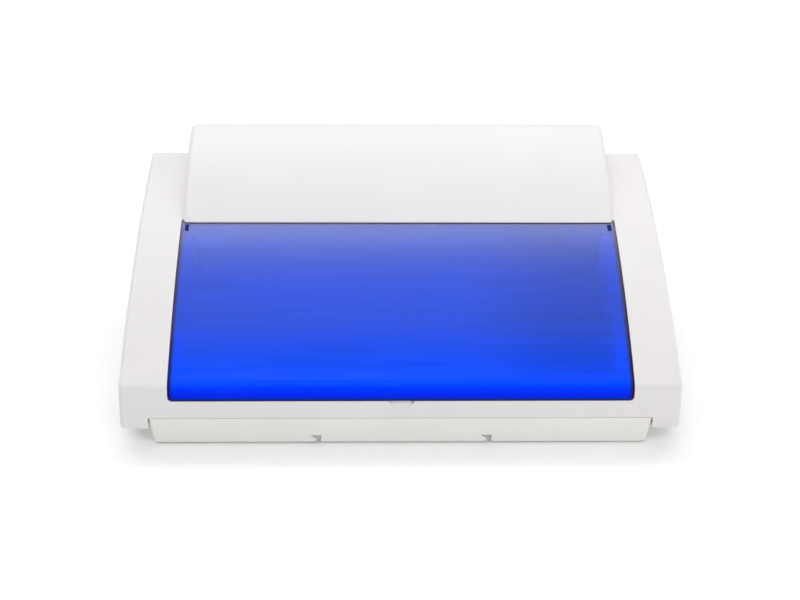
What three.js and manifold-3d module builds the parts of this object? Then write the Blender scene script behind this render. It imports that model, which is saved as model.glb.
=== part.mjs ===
// Countertop ultraviolet steriliser: a white moulded casing with a wing on each side,
// a raised hood at the back, and a clear blue lid that swings up between the wings.
// Millimetres. X runs to the right, Y to the back and Z up. The origin lies on the
// table, in the middle of the footprint.

import * as THREE from "three";
import { mergeVertices } from "three/addons/utils/BufferGeometryUtils.js";
import Module from "manifold-3d";

// Driving dimensions of the body

const bodyWidth = 433; // over the lower edges of the wings
const bodyDepth = 250;
const wall = 2.5;
const fitGap = 0.3; // between pieces that touch
const cutOverrun = 6; // how far a cutting shape runs past the wall
const sideDraftDegrees = 2;
const footHeight = 1.7; // clear space under the base
const seamHeight = 24.3; // where casing and base meet, above the table

// Wings and the arch that their tops and the lid share

const wingWidth = 38.8; // side of the body to the lid, at the wing's lower edge
const wingUnderside = 14.9;
const wingFrontHeight = 52.1;
const wingRearHeight = 138.5;
const wingTopBulge = 15; // rise of the arch over its chord
const wingEdgeRound = 3.4;
const frontCornerEase = 4;
const rearCornerEase = 12;

// Lid

const lidSideGap = 0.6;
const lidThickness = 3;
const lidLipHeight = 40.2; // lower edge of the lip, above the table
const lidBendEase = 7;
const lidCornerEase = 2.6; // lower corners of the lip
const lidTailCover = 1; // how far the lid's rear edge runs under the hood
const hingeLead = 8.3; // hinge axis, in front of the hood
const hingeDepth = 4.7; // hinge axis, under the outer face of the lid
const hingePinRadius = 1.5;
const hingePinReach = 8.5; // length held in the wing
const lugInset = 3; // in from the side of the lid
const lugThickness = 2.8;
const lugRadius = 3.6;

// Rebate that the lid lies in, and the opening inside it

const rebateDepth = 3.4;
const sideLedgeWidth = 12;
const frontLedgeWidth = 14;

// Hood

const hoodLength = 103.7; // front edge of the hood to the rear of the body
const hoodFrontRise = 1.15; // over the wings, at the front edge of the hood
const hoodRearRise = 29.1; // over the rear of the wings
const hoodTopBulge = 7.9;
const hoodRearInset = 4; // rear of the hood, in from the rear of the casing
const hoodEdgeRound = 5;
const hoodRearEase = 11;
const deckOpeningSideInset = 28; // in from the sides of the hood
const deckOpeningInset = 11; // in front of the rear wall of the hood
const deckOpeningLength = 40;
const hoodBossInset = 17; // rear bosses, in front of the rear wall of the hood
const hoodBossSpacing = 37;
const hoodScrewGrip = 9; // length held in a boss of the hood
const hoodFrontWallShare = 1.6; // front wall of the hood, along the table, in walls

// Base tray

const baseInset = 22.3; // side of the base, in from the side of the body
const baseTaper = 3; // each side, over its height
const baseUndercut = 1.4; // turn of the lower edge
const baseUndercutHeight = 1.8;
const baseCorner = 3;
const catchSpacing = 132;
const catchMarkWidth = 8; // recess in the face of the base under each catch
const catchMarkFoot = 3.6; // its width at the underside
const catchMarkHeight = 6.6;
const catchMarkDepth = 1.6;
const tongueWidth = 16;
const tongueThickness = 1.8;
const basePostInset = 27; // from the front and the rear of the body
const postRadius = 4.2;
const baseBossRadius = 5.4;
const counterboreDepth = 8;

// Screws

const screwShankRadius = 1.6;
const screwHeadRadius = 3.3;
const screwHeadHeight = 2.2;
const screwGrip = 10; // length held in a post

// Feet

const footRadius = 8;
const footStemRadius = 2.6;
const footBulbRadius = 3.4;
const footBulbHeight = 2;
const footSideInset = 25; // from the sides of the base
const footEndInset = 22; // from the front and the rear
const footTaperShare = 0.86; // lower radius of a foot, of its upper one

// Grip recess under the lid

const gripTopWidth = 20;
const gripBottomWidth = 13;
const gripHeight = 5.3;
const gripDepth = 3; // at the top; it runs out at the lower edge
const gripBackThickness = 1.8;

// Chamber liner, bent from stainless sheet

const linerSheet = 0.8;
const linerSideRoom = 8.2; // side of the liner, in from the side of the lid
const linerFrontSetback = 10.5;
const linerReach = 40.2; // behind the front edge of the hood
const linerFloorHeight = 12;
const linerBendEase = 6;
const linerPostRadius = 6;
const linerPostShare = 0.7; // spacing of the posts, of the liner's size

// Lamp: an 8 W T5 tube in push-through end sockets

const lampRadius = 8;
const lampEndRoom = 25.5; // for a socket, between lamp and liner
const lampInset = 24.7; // lamp axis, behind the front edge of the hood
const lampDrop = 21.04; // lamp axis, under the arch
const lampGlassWall = 1;
const capLength = 9;
const capThickness = 0.5;
const lampPinRadius = 1.15;
const lampPinLength = 6.4;
const lampPinSpacing = 4.75;
const socketWidth = 20;
const socketDrop = 16; // below the lamp axis
const socketRise = 12.5; // above it
const rotorRadius = 6.4;
const rotorFloor = 2; // of a rotor, behind the pins
const socketRunningGap = 1; // between lamp and socket
const socketStubRadius = 3;
const socketStubReach = 3; // past the liner
const socketRoundShare = 0.98; // rounding of the socket's top, of half its width
const reflectorRadius = 13.4;
const reflectorSpanDegrees = 196;
const reflectorTiltDegrees = 62;
const reflectorStandoffRadius = 4;
const reflectorStandoffInset = 44; // from each end of the lamp
const reflectorEndGap = 6; // short of each end of the lamp

// Electric parts on the base, behind the liner

const ballastLength = 110;
const ballastWidth = 36;
const ballastHeight = 27;
const ballastFlange = 9;
const ballastFlangeThickness = 1.6;
const fittingInset = 36; // centres of the fittings, in front of the rear of the body
const fittingGap = 8; // between neighbours
const ballastCorner = 2;
const starterRadius = 10.5;
const starterLength = 33;
const starterHolderWidth = 30;
const starterHolderHeight = 13;
const holderWellShare = 0.35; // depth of the well, of the holder's height
const starterPinRadius = 2;
const starterPinLength = 6;
const starterPinOffset = 6;
const starterRoundShare = 0.25;
const terminalLength = 52;
const terminalWidth = 19;
const terminalHeight = 15;
const terminalWays = 5;
const terminalLedgeShare = 0.22;
const terminalNotchShare = 0.08;
const terminalHoleShare = 0.3;
const leadRadius = 1.3;

// Lid interlock switch

const interlockSetback = 65;
const plungerRadius = 2;
const plungerRise = 1.5; // travel while the lid opens fully
const switchBodyLength = 20;
const switchBodyHeight = 10.5;
const switchBodyThickness = 6.2;
const switchDrop = 11; // top of the switch body, under the ledge
const buttonHold = 1.1; // of the plunger, left in the switch body while the lid is open
const switchFixingRadius = 1.2;
const switchFixingShare = 0.7;

// Rear panel with the power switch and the inlet

const panelWidth = 96;
const panelHeight = 34;
const panelDepth = 4;
const panelInset = 88.5; // centre, in from the side of the body
const panelCentreHeight = 62;
const panelCorner = 2.4;
const rockerOffset = -24; // from the centre of the panel
const rockerWidth = 15;
const rockerHeight = 21;
const rockerTiltDegrees = 9;
const rockerPivotDepth = 5; // pivot, in front of the panel face
const rockerThickness = 6.5;
const rockerDish = 0.8; // hollow of the rocker's face
const rockerSwing = 1.2; // room above and below for the tilt
const frameRim = 2.6;
const frameWall = 1.8;
const frameThickness = 1.2;
const frameBodyDepth = 16;
const frameFloor = 4;
const rockerPinRadius = 1.1;
const rockerPinLength = 1.3;
const inletOffset = 22; // from the centre of the panel
const inletWidth = 22;
const inletHeight = 15;
const inletBodyDepth = 17;
const inletSocketRadius = 4.3;
const inletSocketSpacing = 8.6;
const inletSocketDepth = 12;
const inletPinRadius = 1.2;
const inletPinLength = 9;
const inletTagLength = 5; // of a pin, behind the inlet
const inletBridgeShare = 0.62;

// Rear vent

const ventCount = 11;
const ventSlotWidth = 3.2;
const ventSlotHeight = 26;
const ventPitch = 8;
const ventCentreHeight = 96;
const ventCentreX = -20;

// Fineness of curves

const archSteps = 22;
const easeSteps = 4;
const crowdedShare = 0.15; // of a corner's reach: points nearer than this are left out
const roundSides = 20;
const smallSides = 12;

// Places that follow from the sizes

const front = -bodyDepth / 2;
const back = bodyDepth / 2;
const baseBottom = footHeight;
const baseFloorTop = baseBottom + wall;
const baseWidth = bodyWidth - 2 * baseInset;
const lidWidth = bodyWidth - 2 * wingWidth;
const openingHalf = lidWidth / 2 + lidSideGap;
const ledgeInnerHalf = openingHalf - sideLedgeWidth;
const hoodWidth = lidWidth + 2 * fitGap;
const hoodFront = back - hoodLength;
const hoodBack = back - hoodRearInset;
const hingeY = hoodFront - hingeLead;
const linerWidth = lidWidth - 2 * linerSideRoom;
const linerFront = front + linerFrontSetback;
const linerBack = hoodFront + linerReach;
const linerLength = linerBack - linerFront;
const lampLength = linerWidth - 2 * lampEndRoom;
const lampY = hoodFront + lampInset;
const screwHoleRadius = screwShankRadius + fitGap;

// Solids from outlines

const wasm = await Module();
wasm.setup();
const mergeTolerance = fitGap / 1000;

function solid(geometry) {
  const bare = geometry.index ? geometry.toNonIndexed() : geometry.clone();
  bare.deleteAttribute("normal");
  bare.deleteAttribute("uv");
  const merged = mergeVertices(bare, mergeTolerance);
  const skin = new wasm.Mesh({
    numProp: 3,
    vertProperties: merged.attributes.position.array,
    triVerts: new Uint32Array(merged.index.array),
  });
  return new wasm.Manifold(skin);
}

function joined(first, ...rest) {
  return rest.reduce((whole, piece) => whole.add(piece), first);
}

function cut(whole, ...tools) {
  return tools.reduce((left, tool) => left.subtract(tool), whole);
}

const at = (x, y) => new THREE.Vector2(x, y);

// Replaces one corner of an outline by a soft curve that starts and ends reach away from it
function eased(points, corner, reach) {
  const count = points.length;
  const start = points.indexOf(corner);
  const walk = (direction) => {
    let left = reach;
    let here = corner;
    let index = start;
    for (;;) {
      const nextIndex = (index + direction + count) % count;
      const length = here.distanceTo(points[nextIndex]);
      if (length > left) {
        return { point: here.clone().lerp(points[nextIndex], left / length), keep: nextIndex };
      }
      left -= length;
      here = points[nextIndex];
      index = nextIndex;
    }
  };
  const before = walk(-1);
  const after = walk(1);
  const kept = [];
  for (let index = after.keep; index !== before.keep; index = (index + 1) % count) {
    kept.push(points[index]);
  }
  kept.push(points[before.keep]);
  const crowded = reach * crowdedShare;
  if (kept[0].distanceTo(after.point) < crowded) kept.shift();
  if (kept[kept.length - 1].distanceTo(before.point) < crowded) kept.pop();
  const curve = new THREE.QuadraticBezierCurve(before.point, corner, after.point);
  return [...kept, ...curve.getPoints(easeSteps)];
}

function rectangle(x0, y0, x1, y1) {
  return [at(x0, y0), at(x1, y0), at(x1, y1), at(x0, y1)];
}

function circle(radius, centre = at(0, 0), sides = roundSides) {
  return Array.from({ length: sides }, (_, i) => {
    const turn = (2 * Math.PI * i) / sides;
    return at(centre.x + radius * Math.cos(turn), centre.y + radius * Math.sin(turn));
  });
}

function roundedRectangle(width, height, corner, centre = at(0, 0)) {
  const x = width / 2;
  const y = height / 2;
  let points = rectangle(centre.x - x, centre.y - y, centre.x + x, centre.y + y);
  for (const point of [...points]) {
    points = eased(points, point, corner);
  }
  return points;
}

function extruded(outline, length, round) {
  const settings = { depth: length - 2 * round, bevelEnabled: round > 0, curveSegments: 1 };
  if (round > 0) {
    settings.bevelThickness = round;
    settings.bevelSize = round;
    settings.bevelOffset = -round;
    settings.bevelSegments = 3;
  }
  return new THREE.ExtrudeGeometry(new THREE.Shape(outline), settings).translate(0, 0, round);
}

// An outline in Y and Z, run from one X to another
const acrossBasis = new THREE.Matrix4().makeBasis(
  new THREE.Vector3(0, 1, 0),
  new THREE.Vector3(0, 0, 1),
  new THREE.Vector3(1, 0, 0),
);

function acrossGeometry(outline, fromX, toX, round = 0) {
  return extruded(outline, toX - fromX, round).applyMatrix4(acrossBasis).translate(fromX, 0, 0);
}

function across(outline, fromX, toX) {
  return solid(acrossGeometry(outline, fromX, toX));
}

// An outline in X and Y, run from one height to another
function upright(outline, fromZ, toZ) {
  return solid(extruded(outline, toZ - fromZ, 0).translate(0, 0, fromZ));
}

// An outline in X and Z, run from one Y to another
function lengthwise(outline, fromY, toY) {
  return solid(extruded(outline, toY - fromY, 0).rotateX(Math.PI / 2).translate(0, toY, 0));
}

function block(x0, x1, y0, y1, z0, z1) {
  return upright(rectangle(x0, y0, x1, y1), z0, z1);
}

function turned(profile, sides = roundSides) {
  return new THREE.LatheGeometry(profile, sides).rotateX(Math.PI / 2);
}

// A closed skin over a stack of rings that have equally many points
function lofted(rings) {
  const count = rings[0].points.length;
  const places = rings.flatMap(({ points, z }) => points.flatMap((p) => [p.x, p.y, z]));
  const faces = [];
  for (let level = 0; level < rings.length - 1; level += 1) {
    for (let i = 0; i < count; i += 1) {
      const a = level * count + i;
      const b = level * count + ((i + 1) % count);
      faces.push(a, b, b + count, a, b + count, a + count);
    }
  }
  const cap = THREE.ShapeUtils.triangulateShape(rings[0].points, []);
  const top = (rings.length - 1) * count;
  for (const [a, b, c] of cap) {
    faces.push(a, c, b, top + a, top + b, top + c);
  }
  const skin = new THREE.BufferGeometry();
  skin.setAttribute("position", new THREE.Float32BufferAttribute(places, 3));
  skin.setIndex(faces);
  return solid(skin);
}

// Leans the sides of a geometry inwards as they rise from the height of pivot
function drafted(geometry, pivot) {
  const lean = Math.tan(THREE.MathUtils.degToRad(sideDraftDegrees));
  const place = geometry.attributes.position;
  for (let i = 0; i < place.count; i += 1) {
    const x = place.getX(i);
    place.setX(i, x - Math.sign(x) * (place.getZ(i) - pivot) * lean);
  }
  return geometry;
}

// The circle through two points of the side view that stands proud of their chord by bulge
function archThrough(start, end, bulge) {
  const chord = end.clone().sub(start);
  const half = chord.length() / 2;
  const radius = (half * half + bulge * bulge) / (2 * bulge);
  const upward = at(-chord.y, chord.x).normalize();
  const centre = start.clone().lerp(end, 1 / 2).addScaledVector(upward, bulge - radius);
  const heightAt = (y, depth = 0) => {
    return centre.y + Math.sqrt((radius - depth) ** 2 - (y - centre.x) ** 2);
  };
  const slopeAt = (y) => Math.atan2(centre.x - y, Math.sqrt(radius ** 2 - (y - centre.x) ** 2));
  return { heightAt, slopeAt };
}

function archPoints(arch, fromY, toY, depth) {
  return Array.from({ length: archSteps + 1 }, (_, i) => {
    const y = THREE.MathUtils.lerp(fromY, toY, i / archSteps);
    return at(y, arch.heightAt(y, depth));
  });
}

// Side view of a body under an arch: flat front, back and bottom, with eased upper corners
function underArch(arch, { from, to, bottom, depth, frontEase = 0, rearEase = 0 }) {
  const top = archPoints(arch, to, from, depth);
  const outline = [at(from, bottom), at(to, bottom), ...top];
  const rear = rearEase > 0 ? eased(outline, top[0], rearEase) : outline;
  return frontEase > 0 ? eased(rear, top[archSteps], frontEase) : rear;
}

const wingArch = archThrough(at(front, wingFrontHeight), at(back, wingRearHeight), wingTopBulge);
const hoodFrontHeight = wingArch.heightAt(hoodFront) + hoodFrontRise;
const hoodRearHeight = wingRearHeight + hoodRearRise;
const hoodArch = archThrough(
  at(hoodFront, hoodFrontHeight),
  at(hoodBack, hoodRearHeight),
  hoodTopBulge,
);
const lampHeight = wingArch.heightAt(lampY) - lampDrop;
const hingeZ = wingArch.heightAt(hingeY) - hingeDepth / Math.cos(wingArch.slopeAt(hingeY));

// Copies of a place in all four quadrants
function atCorners(spacingX, spacingY) {
  return [1, -1].flatMap((sy) => [-1, 1].map((sx) => at((sx * spacingX) / 2, (sy * spacingY) / 2)));
}

const sides = [
  { name: "left", sign: -1 },
  { name: "right", sign: 1 },
];

// A shape made for the right end, and its mirror image for the left end
function atEnd(sign, outline, near, far) {
  return sign > 0 ? across(outline, near, far) : across(outline, -far, -near);
}

function mirroredAcross(outline, nearX, farX) {
  return joined(across(outline, nearX, farX), across(outline, -farX, -nearX));
}

// Materials

const plastic = (color, roughness = 0.4) => {
  return new THREE.MeshStandardMaterial({ color, roughness, metalness: 0 });
};
const metal = (color, roughness = 0.35) => {
  return new THREE.MeshStandardMaterial({ color, roughness, metalness: 1 });
};
const casingWhite = plastic("#ece9e8");
const lidBlue = new THREE.MeshPhysicalMaterial({
  color: "#1240f0",
  roughness: 0.08,
  metalness: 0,
  transparent: true,
  opacity: 0.6,
});
const socketWhite = plastic("#f2f1ec", 0.5);
const black = plastic("#17181a", 0.5);
const rubber = plastic("#3b3c3e", 0.9);
const stainless = metal("#c9ccd0", 0.3);
const plated = metal("#d9dadb", 0.2);
const brass = metal("#cfae62", 0.3);
const lampGlass = plastic("#eef3f6", 0.1);
const enamel = plastic("#c8cacc", 0.45);

const steriliser = new THREE.Group();

function addPiece(name, shape, material) {
  const skin = shape.getMesh();
  const geometry = new THREE.BufferGeometry();
  const places = new Float32Array(skin.vertProperties);
  geometry.setAttribute("position", new THREE.BufferAttribute(places, 3));
  geometry.setIndex(new THREE.BufferAttribute(new Uint32Array(skin.triVerts), 1));
  const piece = new THREE.Mesh(geometry, material);
  piece.name = name;
  steriliser.add(piece);
  return piece;
}

// Top casing: both wings, the rebate for the lid, the deck under the hood and the rear wall

const wingOutline = underArch(wingArch, {
  from: front,
  to: back,
  bottom: wingUnderside,
  depth: 0,
  frontEase: frontCornerEase,
  rearEase: rearCornerEase,
});
const wingBlank = acrossGeometry(wingOutline, -bodyWidth / 2, bodyWidth / 2, wingEdgeRound);
const casingSkin = solid(drafted(wingBlank, wingUnderside));
const highAbove = hoodRearHeight + cutOverrun;
const stepHalf = baseWidth / 2 + fitGap;

function casingHollow() {
  const outline = underArch(wingArch, {
    from: front + wall,
    to: back - wall,
    bottom: wingUnderside + wall,
    depth: wall,
    frontEase: frontCornerEase,
    rearEase: rearCornerEase - wall,
  });
  const half = bodyWidth / 2 - wall;
  const inner = solid(drafted(acrossGeometry(outline, -half, half, wingEdgeRound), wingUnderside));
  const stepWall = stepHalf + wall;
  const mouthHalf = baseWidth / 2 - wall;
  const step = block(-stepWall, stepWall, front, back, 0, seamHeight + wall);
  const mouth = block(-mouthHalf, mouthHalf, front + wall, back - wall, 0, seamHeight + 2 * wall);
  return cut(inner, step).add(mouth);
}

// The rebate follows the arch, a lid and a running gap below the wings

const tailY = hoodFront + lidTailCover;
const tail = at(tailY - hingeY, wingArch.heightAt(tailY) - hingeZ);
const tailSweep = tail.length() + 2 * fitGap;
const deckFront = hingeY + tailSweep;
const boreRadius = hingePinRadius + fitGap;
const pocketFront = hingeY - boreRadius - fitGap;
const pocketFloor = hingeZ - tailSweep;
const lipShelf = lidLipHeight - fitGap;
const lidHalf = lidWidth / 2;
const linerHalf = linerWidth / 2;
const hingeCentre = at(hingeY, hingeZ);
const pinEnd = openingHalf + hingePinReach;

// Front view of the lid or of its opening: open upwards, with eased lower corners
function lipFace(half, low, ease) {
  const corners = rectangle(-half, low, half, highAbove);
  const [left, right] = corners;
  return eased(eased(corners, left, ease), right, ease);
}

function rebateCore(depth) {
  const outline = underArch(wingArch, {
    from: front + depth,
    to: back,
    bottom: 0,
    depth,
    frontEase: lidBendEase - lidThickness,
  });
  return across(outline, -bodyWidth / 2, bodyWidth / 2);
}

function rebateBand() {
  const half = openingHalf + wall;
  const band = block(-half, half, front, deckFront + wall, lipShelf - wall, highAbove);
  return band.intersect(casingSkin).subtract(rebateCore(rebateDepth + wall));
}

function rebateCut() {
  const face = lipFace(openingHalf, lipShelf, lidCornerEase + lidSideGap);
  return cut(lengthwise(face, front - cutOverrun, deckFront), rebateCore(rebateDepth));
}

// The mouth of the chamber, with room for the lugs and for the tail of the lid to swing down
function chamberMouth() {
  const start = front + frontLedgeWidth;
  const main = block(-ledgeInnerHalf, ledgeInnerHalf, start, deckFront, lipShelf, highAbove);
  const pocket = block(-openingHalf, openingHalf, pocketFront, deckFront, pocketFloor, highAbove);
  const lugEnd = lidHalf - lugInset + fitGap;
  const slots = mirroredAcross(
    rectangle(hingeY - lugRadius - fitGap, pocketFloor, hingeY, highAbove),
    lugEnd - lugThickness - 2 * fitGap,
    lugEnd,
  );
  return joined(main, pocket, slots);
}

// A cup at each end of the hinge closes the wing off under the lid's tail
function hingeCups() {
  const profile = rectangle(
    hingeY - lugRadius - fitGap - wall,
    pocketFloor - wall,
    deckFront + wall,
    highAbove,
  );
  return mirroredAcross(profile, linerHalf + fitGap, openingHalf + wall).intersect(casingSkin);
}

const postX = openingHalf + fitGap + postRadius;
const postY = back - basePostInset;
const basePosts = atCorners(2 * postX, 2 * postY);
const pilotDepth = screwGrip + fitGap;

function casingPosts() {
  const posts = basePosts.map((p) => upright(circle(postRadius, p), seamHeight, highAbove));
  return joined(...posts).intersect(casingSkin);
}

function postPilots() {
  const top = seamHeight + pilotDepth;
  return basePosts.map((p) => upright(circle(screwHoleRadius, p), 0, top));
}

const hoodBossX = hoodWidth / 2 - 2 * wall - postRadius + fitGap;
const hoodBossY = hoodBack - hoodBossInset;
const hoodBosses = [hoodBossY - hoodBossSpacing, hoodBossY].flatMap((y) => {
  return sides.map(({ sign }) => at(sign * hoodBossX, y));
});

const reflectorTop = lampHeight + reflectorRadius + linerSheet;
const standoffX = lampLength / 2 - reflectorStandoffInset;
const standoffs = sides.map(({ sign }) => at(sign * standoffX, lampY));

function reflectorStandoffs() {
  const posts = standoffs.map((p) => {
    return upright(circle(reflectorStandoffRadius, p), reflectorTop + fitGap, highAbove);
  });
  return joined(...posts).intersect(casingSkin);
}

const panelFace = back - panelDepth;
const panelCentreX = bodyWidth / 2 - panelInset;
const panelCentre = at(panelCentreX, panelCentreHeight);
const rockerCentre = at(panelCentreX + rockerOffset, panelCentreHeight);
const inletCentre = at(panelCentreX + inletOffset, panelCentreHeight);
const frameInnerWidth = rockerWidth + 2 * fitGap;
const frameInnerHeight = rockerHeight + 2 * rockerSwing;
const frameBodyWidth = frameInnerWidth + 2 * frameWall;
const frameBodyHeight = frameInnerHeight + 2 * frameWall;

function panelPocket() {
  const width = panelWidth + 2 * wall;
  const height = panelHeight + 2 * wall;
  const outer = roundedRectangle(width, height, panelCorner + wall, panelCentre);
  return lengthwise(outer, panelFace - wall, back - wall / 2);
}

function panelCuts() {
  const pocket = roundedRectangle(panelWidth, panelHeight, panelCorner, panelCentre);
  const start = panelFace - wall - cutOverrun;
  const opening = (width, height, centre) => {
    const outline = roundedRectangle(width + 2 * fitGap, height + 2 * fitGap, frameWall, centre);
    return lengthwise(outline, start, back);
  };
  return [
    lengthwise(pocket, panelFace, back + cutOverrun),
    opening(frameBodyWidth, frameBodyHeight, rockerCentre),
    opening(inletWidth, inletHeight, inletCentre),
  ];
}

function ventSlots() {
  return Array.from({ length: ventCount }, (_, i) => {
    const x = ventCentreX + (i - (ventCount - 1) / 2) * ventPitch;
    const slot = roundedRectangle(
      ventSlotWidth,
      ventSlotHeight,
      ventSlotWidth / 3,
      at(x, ventCentreHeight),
    );
    return lengthwise(slot, back - wall - cutOverrun, back + cutOverrun);
  });
}

// A scoop for the fingertip: deepest under the lip of the lid, with slanting ends
function gripRecess() {
  const top = lipShelf + wall;
  const low = lipShelf - gripHeight;
  const widening = (gripTopWidth - gripBottomWidth) / 2 / gripHeight;
  const topHalf = gripTopWidth / 2 + widening * wall;
  const ends = [
    at(-gripBottomWidth / 2, low),
    at(gripBottomWidth / 2, low),
    at(topHalf, top),
    at(-topHalf, top),
  ];
  const ramp = [
    at(front - cutOverrun, low),
    at(front, low),
    at(front + gripDepth, lipShelf),
    at(front + gripDepth, top),
    at(front - cutOverrun, top),
  ];
  return lengthwise(ends, front - cutOverrun, front + gripDepth + wall)
    .intersect(across(ramp, -topHalf, topHalf));
}

function gripBacking() {
  const half = gripTopWidth / 2 + gripBackThickness;
  const low = lipShelf - gripHeight - gripBackThickness;
  const deep = front + gripDepth + gripBackThickness;
  return block(-half, half, front + wall / 2, deep, low, lipShelf);
}

const catchPlaces = sides.map(({ sign }) => (sign * catchSpacing) / 2);
const tongueFront = front + wall + fitGap;
const tongueBottom = baseFloorTop + 2 * fitGap;

// Two tongues hang from the front of the casing and hold the base tray from inside
function tongues() {
  const parts = catchPlaces.flatMap((x) => {
    const near = x - tongueWidth / 2;
    const far = x + tongueWidth / 2;
    const inner = tongueFront + tongueThickness;
    const root = block(near, far, front + wall / 2, inner, seamHeight, seamHeight + 2 * wall);
    const blade = block(near, far, tongueFront, inner, tongueBottom, seamHeight + wall);
    return [root, blade];
  });
  return joined(...parts);
}

const ledgeUnder = rebateDepth + wall;
const interlockY = front + interlockSetback;
const plungerX = linerWidth / 2 + fitGap + switchBodyThickness / 2;
const plungerTop = wingArch.heightAt(interlockY - plungerRadius, lidThickness) - fitGap;
const switchTop = wingArch.heightAt(interlockY, ledgeUnder) - switchDrop;
const buttonSink = plungerRise + buttonHold;

function topCasing() {
  const shell = cut(casingSkin, casingHollow());
  const built = joined(
    shell,
    rebateBand(),
    casingPosts(),
    reflectorStandoffs(),
    panelPocket(),
    gripBacking(),
    hingeCups(),
    mirroredAcross(circle(boreRadius + wall, hingeCentre), openingHalf, pinEnd + wall),
  );
  const deckHalf = hoodWidth / 2 - deckOpeningSideInset;
  const deckEnd = hoodBack - deckOpeningInset;
  const deckStart = deckEnd - deckOpeningLength;
  const stepBox = block(-stepHalf, stepHalf, front - cutOverrun, back + cutOverrun, 0, seamHeight);
  const underDeck = wingArch.heightAt(deckStart) - 2 * wall;
  const trimmed = cut(
    built,
    rebateCut(),
    chamberMouth(),
    stepBox,
    block(-deckHalf, deckHalf, deckStart, deckEnd, underDeck, highAbove),
    ...postPilots(),
    ...hoodBosses.map((p) => upright(circle(screwHoleRadius, p), lampHeight, highAbove)),
    ...panelCuts(),
    ...ventSlots(),
    gripRecess(),
    mirroredAcross(circle(boreRadius, hingeCentre), openingHalf - wall, pinEnd + fitGap),
    upright(circle(plungerRadius + fitGap, at(plungerX, interlockY)), switchTop, highAbove),
  );
  return trimmed.add(tongues());
}
addPiece("top_casing", topCasing(), casingWhite);

// Base tray

const baseTop = seamHeight - fitGap;
const linerPostPlaces = atCorners(linerWidth * linerPostShare, linerLength * linerPostShare).map((p) => {
  return at(p.x, p.y + (linerFront + linerBack) / 2);
});
const footPlaces = atCorners(baseWidth - 2 * footSideInset, bodyDepth - 2 * footEndInset);

function baseRing(z, inset) {
  const rise = Math.min((z - baseBottom) / baseUndercutHeight, 1);
  const undercut = baseUndercut * (1 - Math.sqrt(1 - (1 - rise) ** 2));
  const lean = baseTaper * (1 - (z - baseBottom) / (baseTop - baseBottom));
  const width = baseWidth - 2 * (lean + undercut + inset);
  const depth = bodyDepth - 2 * (undercut + inset);
  return { points: roundedRectangle(width, depth, baseCorner - inset), z };
}

function baseTray() {
  const turnShares = [0, 0.12, 0.3, 0.6, 1];
  const heights = turnShares.map((share) => baseBottom + share * baseUndercutHeight);
  const outer = lofted([...heights, baseTop].map((z) => baseRing(z, 0)));
  const inner = lofted([baseFloorTop, baseTop + cutOverrun].map((z) => baseRing(z, wall)));
  const bosses = basePosts.map((p) => upright(circle(baseBossRadius, p), baseBottom, baseTop));
  const linerPosts = linerPostPlaces.map((p) => {
    return upright(circle(linerPostRadius, p), baseBottom, linerFloorHeight - fitGap);
  });
  const counterbores = basePosts.flatMap((p) => [
    upright(circle(screwHeadRadius + fitGap, p), 0, baseBottom + counterboreDepth),
    upright(circle(screwHoleRadius, p), 0, seamHeight),
  ]);
  const footHoles = footPlaces.map((p) => upright(circle(footStemRadius + fitGap, p), 0, seamHeight));
  const high = baseBottom + catchMarkHeight;
  const marks = catchPlaces.map((x) => {
    const right = x + catchMarkWidth / 2;
    const corners = [
      at(right - catchMarkFoot, 0),
      at(right, 0),
      at(right, high),
      at(right - catchMarkWidth, high),
      at(right - catchMarkFoot, high - catchMarkHeight / 2),
    ];
    return lengthwise(corners, front - cutOverrun, front + catchMarkDepth);
  });
  const shell = joined(cut(outer, inner), ...bosses, ...linerPosts);
  return cut(shell, ...counterbores, ...footHoles, ...marks);
}
addPiece("base_tray", baseTray(), casingWhite);

// Rubber feet, pushed into the base

footPlaces.forEach((p, i) => {
  const padTop = baseBottom - fitGap;
  const bulbStart = baseFloorTop + fitGap;
  const profile = [
    at(0, 0),
    at(footRadius * footTaperShare, 0),
    at(footRadius, padTop),
    at(footStemRadius, padTop),
    at(footStemRadius, bulbStart),
    at(footBulbRadius, bulbStart),
    at(footStemRadius, bulbStart + footBulbHeight),
    at(0, bulbStart + footBulbHeight),
  ];
  addPiece(`foot_${i + 1}`, solid(turned(profile).translate(p.x, p.y, 0)), rubber);
});

// Screws: the base to the casing, and the deck to the hood

function screw(place, headBottom, length) {
  const headTop = headBottom + screwHeadHeight;
  const profile = [
    at(0, headBottom),
    at(screwHeadRadius, headBottom),
    at(screwHeadRadius, headTop),
    at(screwShankRadius, headTop),
    at(screwShankRadius, headTop + length),
    at(0, headTop + length),
  ];
  return solid(turned(profile, smallSides).translate(place.x, place.y, 0));
}

basePosts.forEach((p, i) => {
  const headTop = baseBottom + counterboreDepth - fitGap;
  const length = seamHeight + screwGrip - headTop;
  addPiece(`base_screw_${i + 1}`, screw(p, headTop - screwHeadHeight, length), plated);
});

hoodBosses.forEach((p, i) => {
  const lowEdge = wingArch.heightAt(p.y - screwHeadRadius, wall) - fitGap;
  const length = wingArch.heightAt(p.y) + hoodScrewGrip - lowEdge;
  addPiece(`hood_screw_${i + 1}`, screw(p, lowEdge - screwHeadHeight, length), plated);
});

// Hood

function hoodOutline(inset, bottom) {
  return underArch(hoodArch, {
    from: hoodFront + inset * hoodFrontWallShare,
    to: hoodBack - inset,
    bottom,
    depth: inset,
    rearEase: hoodRearEase - inset,
  });
}

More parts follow.
